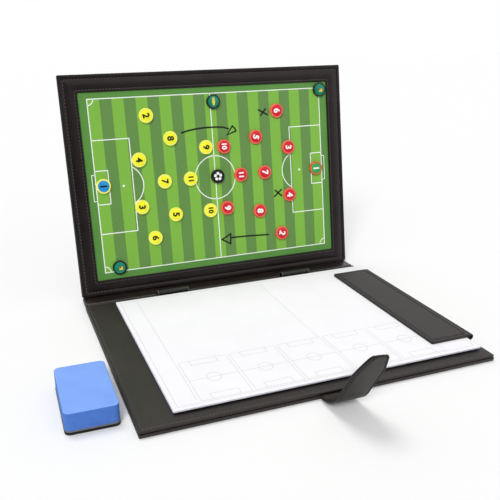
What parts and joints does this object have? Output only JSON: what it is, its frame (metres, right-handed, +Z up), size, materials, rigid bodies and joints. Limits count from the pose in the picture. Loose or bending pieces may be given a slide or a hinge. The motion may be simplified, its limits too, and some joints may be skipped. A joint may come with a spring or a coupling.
{
  "type": "folding tactics board",
  "caption": "Leatherette folder with an upright magnetic pitch board and sliding tokens, a pad under a clip flap, pen loops, a closing strap and an eraser.",
  "frame": {"origin": "centre of the base's underside, on the table", "axes": "+X right along the folds, +Y back towards the standing cover, +Z up"},
  "size_m": [0.388, 0.3578, 0.2381],
  "materials": {
    "leatherette": "black grained leatherette, satin",
    "greyboard": "grey bookbinding board",
    "sheet_steel": "thin zinc-plated sheet",
    "pitch_print": "printed wipe-clean film on a thin plastic sheet",
    "paper": "white uncoated paper",
    "pad_board": "grey pad backing",
    "elastic": "black woven elastic",
    "magnet": "ferrite magnet",
    "yellow_cap": "moulded cap, glossy",
    "red_cap": "moulded cap, glossy",
    "green_cap": "moulded cap, glossy",
    "black_cap": "moulded cap, glossy",
    "blue_foam": "closed-cell foam",
    "grey_foam": "thin grey foam sheet that joins foam and felt",
    "felt": "pressed felt"
  },
  "bodies": {
    "base": {"base_outer_skin": "leatherette", "base_board": "greyboard", "base_lining": "leatherette", "pen_loop_left": "elastic", "pen_loop_right": "elastic"},
    "spine": {"spine_skin": "leatherette", "spine_board": "greyboard"},
    "cover": {"cover_outer_skin": "leatherette", "cover_board": "greyboard", "catch_plate": "sheet_steel", "steel_sheet": "sheet_steel", "pitch_panel": "pitch_print", "window_frame": "leatherette"},
    "clip": {"clip_flap_skin": "leatherette", "clip_stiffener": "greyboard", "clip_roll": "leatherette"},
    "strap_lower": {"strap_root": "leatherette"},
    "strap_upper": {"strap_tongue": "leatherette", "strap_magnet": "magnet"},
    "notepad": {"notepad_sheets": "paper", "notepad_backing": "pad_board"},
    "eraser": {"eraser_foam": "blue_foam", "eraser_backing": "grey_foam", "eraser_felt": "felt"},
    "token_yellow_1": {"token_yellow_1": "yellow_cap"},
    "token_yellow_2": {"token_yellow_2": "yellow_cap"},
    "token_yellow_3": {"token_yellow_3": "yellow_cap"},
    "token_yellow_4": {"token_yellow_4": "yellow_cap"},
    "token_yellow_5": {"token_yellow_5": "yellow_cap"},
    "token_yellow_6": {"token_yellow_6": "yellow_cap"},
    "token_yellow_7": {"token_yellow_7": "yellow_cap"},
    "token_yellow_8": {"token_yellow_8": "yellow_cap"},
    "token_yellow_9": {"token_yellow_9": "yellow_cap"},
    "token_yellow_10": {"token_yellow_10": "yellow_cap"},
    "token_yellow_11": {"token_yellow_11": "yellow_cap"},
    "token_red_1": {"token_red_1": "red_cap"},
    "token_red_2": {"token_red_2": "red_cap"},
    "token_red_3": {"token_red_3": "red_cap"},
    "token_red_4": {"token_red_4": "red_cap"},
    "token_red_5": {"token_red_5": "red_cap"},
    "token_red_6": {"token_red_6": "red_cap"},
    "token_red_7": {"token_red_7": "red_cap"},
    "token_red_8": {"token_red_8": "red_cap"},
    "token_red_9": {"token_red_9": "red_cap"},
    "token_red_10": {"token_red_10": "red_cap"},
    "token_red_11": {"token_red_11": "red_cap"},
    "token_referee": {"token_referee": "green_cap"},
    "token_linesman_right": {"token_linesman_right": "green_cap"},
    "token_linesman_left": {"token_linesman_left": "green_cap"},
    "token_ball": {"token_ball": "black_cap"}
  },
  "joints": [
    {"name": "spine_fold", "type": "hinge", "parent": "base", "child": "spine", "pos_m": [0, 0.118, 0.00287], "axis": [1, 0, 0], "range_deg": [0, 90]},
    {"name": "board_fold", "type": "hinge", "parent": "spine", "child": "cover", "pos_m": [0, 0.1333, 0.00287], "axis": [1, 0, 0], "range_deg": [-77.4, 12.6]},
    {"name": "clip_flap", "type": "hinge", "parent": "base", "child": "clip", "pos_m": [0.166, 0, 0.00885], "axis": [0, -1, 0], "range_deg": [-165, 0]},
    {"name": "strap_swing", "type": "hinge", "parent": "base", "child": "strap_lower", "pos_m": [0, -0.11945, 0.003], "axis": [-1, 0, 0], "range_deg": [0, 9]},
    {"name": "strap_bend", "type": "hinge", "parent": "strap_lower", "child": "strap_upper", "pos_m": [0, -0.14419, 0.01908], "axis": [-1, 0, 0], "range_deg": [-45, 108]},
    {"name": "pad_slide", "type": "slide", "parent": "base", "child": "notepad", "axis": [1, 0, 0], "range_m": [-0.03, 0]},
    {"name": "eraser_lift", "type": "slide", "parent": "base", "child": "eraser", "axis": [0, 0, 1], "range_m": [0, 0.06]},
    {"name": "token_yellow_1", "type": "slide", "parent": "cover", "child": "token_yellow_1", "axis": [1, 0, 0], "range_m": [-0.0089, 0.0263]},
    {"name": "token_yellow_2", "type": "slide", "parent": "cover", "child": "token_yellow_2", "axis": [1, 0, 0], "range_m": [-0.06, 0.0314]},
    {"name": "token_yellow_3", "type": "slide", "parent": "cover", "child": "token_yellow_3", "axis": [1, 0, 0], "range_m": [-0.0494, 0.0109]},
    {"name": "token_yellow_4", "type": "slide", "parent": "cover", "child": "token_yellow_4", "axis": [1, 0, 0], "range_m": [-0.051, 0.0311]},
    {"name": "token_yellow_5", "type": "slide", "parent": "cover", "child": "token_yellow_5", "axis": [1, 0, 0], "range_m": [-0.0109, 0.0127]},
    {"name": "token_yellow_6", "type": "slide", "parent": "cover", "child": "token_yellow_6", "axis": [1, 0, 0], "range_m": [-0.06, 0.06]},
    {"name": "token_yellow_7", "type": "slide", "parent": "cover", "child": "token_yellow_7", "axis": [1, 0, 0], "range_m": [-0.0263, 0.007]},
    {"name": "token_yellow_8", "type": "slide", "parent": "cover", "child": "token_yellow_8", "axis": [1, 0, 0], "range_m": [-0.06, 0.0123]},
    {"name": "token_yellow_9", "type": "slide", "parent": "cover", "child": "token_yellow_9", "axis": [1, 0, 0], "range_m": [-0.0123, 0.0027]},
    {"name": "token_yellow_10", "type": "slide", "parent": "cover", "child": "token_yellow_10", "axis": [1, 0, 0], "range_m": [-0.0127, 0.0022]},
    {"name": "token_yellow_11", "type": "slide", "parent": "cover", "child": "token_yellow_11", "axis": [1, 0, 0], "range_m": [-0.007, 0.0081]},
    {"name": "token_red_1", "type": "slide", "parent": "cover", "child": "token_red_1", "axis": [1, 0, 0], "range_m": [-0.0257, 0.0099]},
    {"name": "token_red_2", "type": "slide", "parent": "cover", "child": "token_red_2", "axis": [1, 0, 0], "range_m": [-0.06, 0.0596]},
    {"name": "token_red_3", "type": "slide", "parent": "cover", "child": "token_red_3", "axis": [1, 0, 0], "range_m": [-0.0123, 0.0457]},
    {"name": "token_red_4", "type": "slide", "parent": "cover", "child": "token_red_4", "axis": [1, 0, 0], "range_m": [-0.0118, 0.0468]},
    {"name": "token_red_5", "type": "slide", "parent": "cover", "child": "token_red_5", "axis": [1, 0, 0], "range_m": [-0.0118, 0.0123]},
    {"name": "token_red_6", "type": "slide", "parent": "cover", "child": "token_red_6", "axis": [1, 0, 0], "range_m": [-0.0306, 0.0584]},
    {"name": "token_red_7", "type": "slide", "parent": "cover", "child": "token_red_7", "axis": [1, 0, 0], "range_m": [-0.0069, 0.0257]},
    {"name": "token_red_8", "type": "slide", "parent": "cover", "child": "token_red_8", "axis": [1, 0, 0], "range_m": [-0.0122, 0.0118]},
    {"name": "token_red_9", "type": "slide", "parent": "cover", "child": "token_red_9", "axis": [1, 0, 0], "range_m": [-0.0022, 0.0122]},
    {"name": "token_red_10", "type": "slide", "parent": "cover", "child": "token_red_10", "axis": [1, 0, 0], "range_m": [-0.0027, 0.0118]},
    {"name": "token_red_11", "type": "slide", "parent": "cover", "child": "token_red_11", "axis": [1, 0, 0], "range_m": [-0.0062, 0.0069]},
    {"name": "token_referee", "type": "slide", "parent": "cover", "child": "token_referee", "axis": [1, 0, 0], "range_m": [-0.0314, 0.0306]},
    {"name": "token_linesman_right", "type": "slide", "parent": "cover", "child": "token_linesman_right", "axis": [1, 0, 0], "range_m": [-0.0593, 0.0009]},
    {"name": "token_linesman_left", "type": "slide", "parent": "cover", "child": "token_linesman_left", "axis": [1, 0, 0], "range_m": [-0.0173, 0.06]},
    {"name": "token_ball", "type": "slide", "parent": "cover", "child": "token_ball", "axis": [1, 0, 0], "range_m": [-0.0081, 0.0062]}
  ]
}
